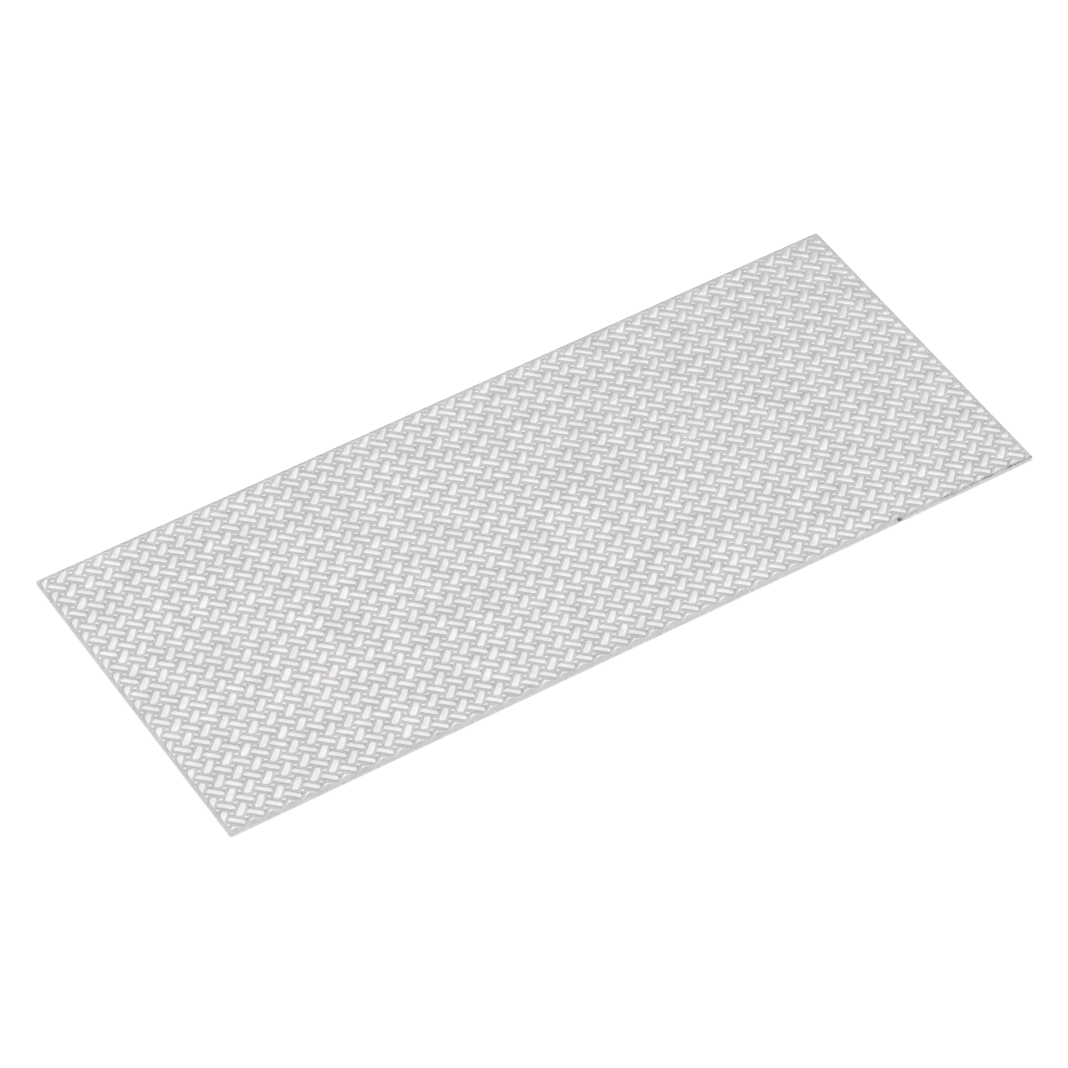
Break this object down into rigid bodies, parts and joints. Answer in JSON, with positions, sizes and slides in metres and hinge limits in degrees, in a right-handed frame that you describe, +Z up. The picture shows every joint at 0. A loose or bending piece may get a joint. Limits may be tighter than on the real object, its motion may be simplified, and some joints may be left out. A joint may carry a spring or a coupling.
{
  "type": "aluminum checker plate",
  "caption": "Small flat sheet of aluminium checker plate with a plain back and a tread of short crossed bars and studs, for facing or flooring scale models.",
  "frame": {"origin": "middle of the plain back face, which lies on the floor", "axes": "+X along the length, +Y across the width, +Z up out of the tread"},
  "size_m": [0.2, 0.085, 0.001],
  "materials": {
    "aluminium_sheet": "bright embossed mill finish"
  },
  "bodies": {
    "root": {"checker_plate": "aluminium_sheet"}
  },
  "joints": []
}
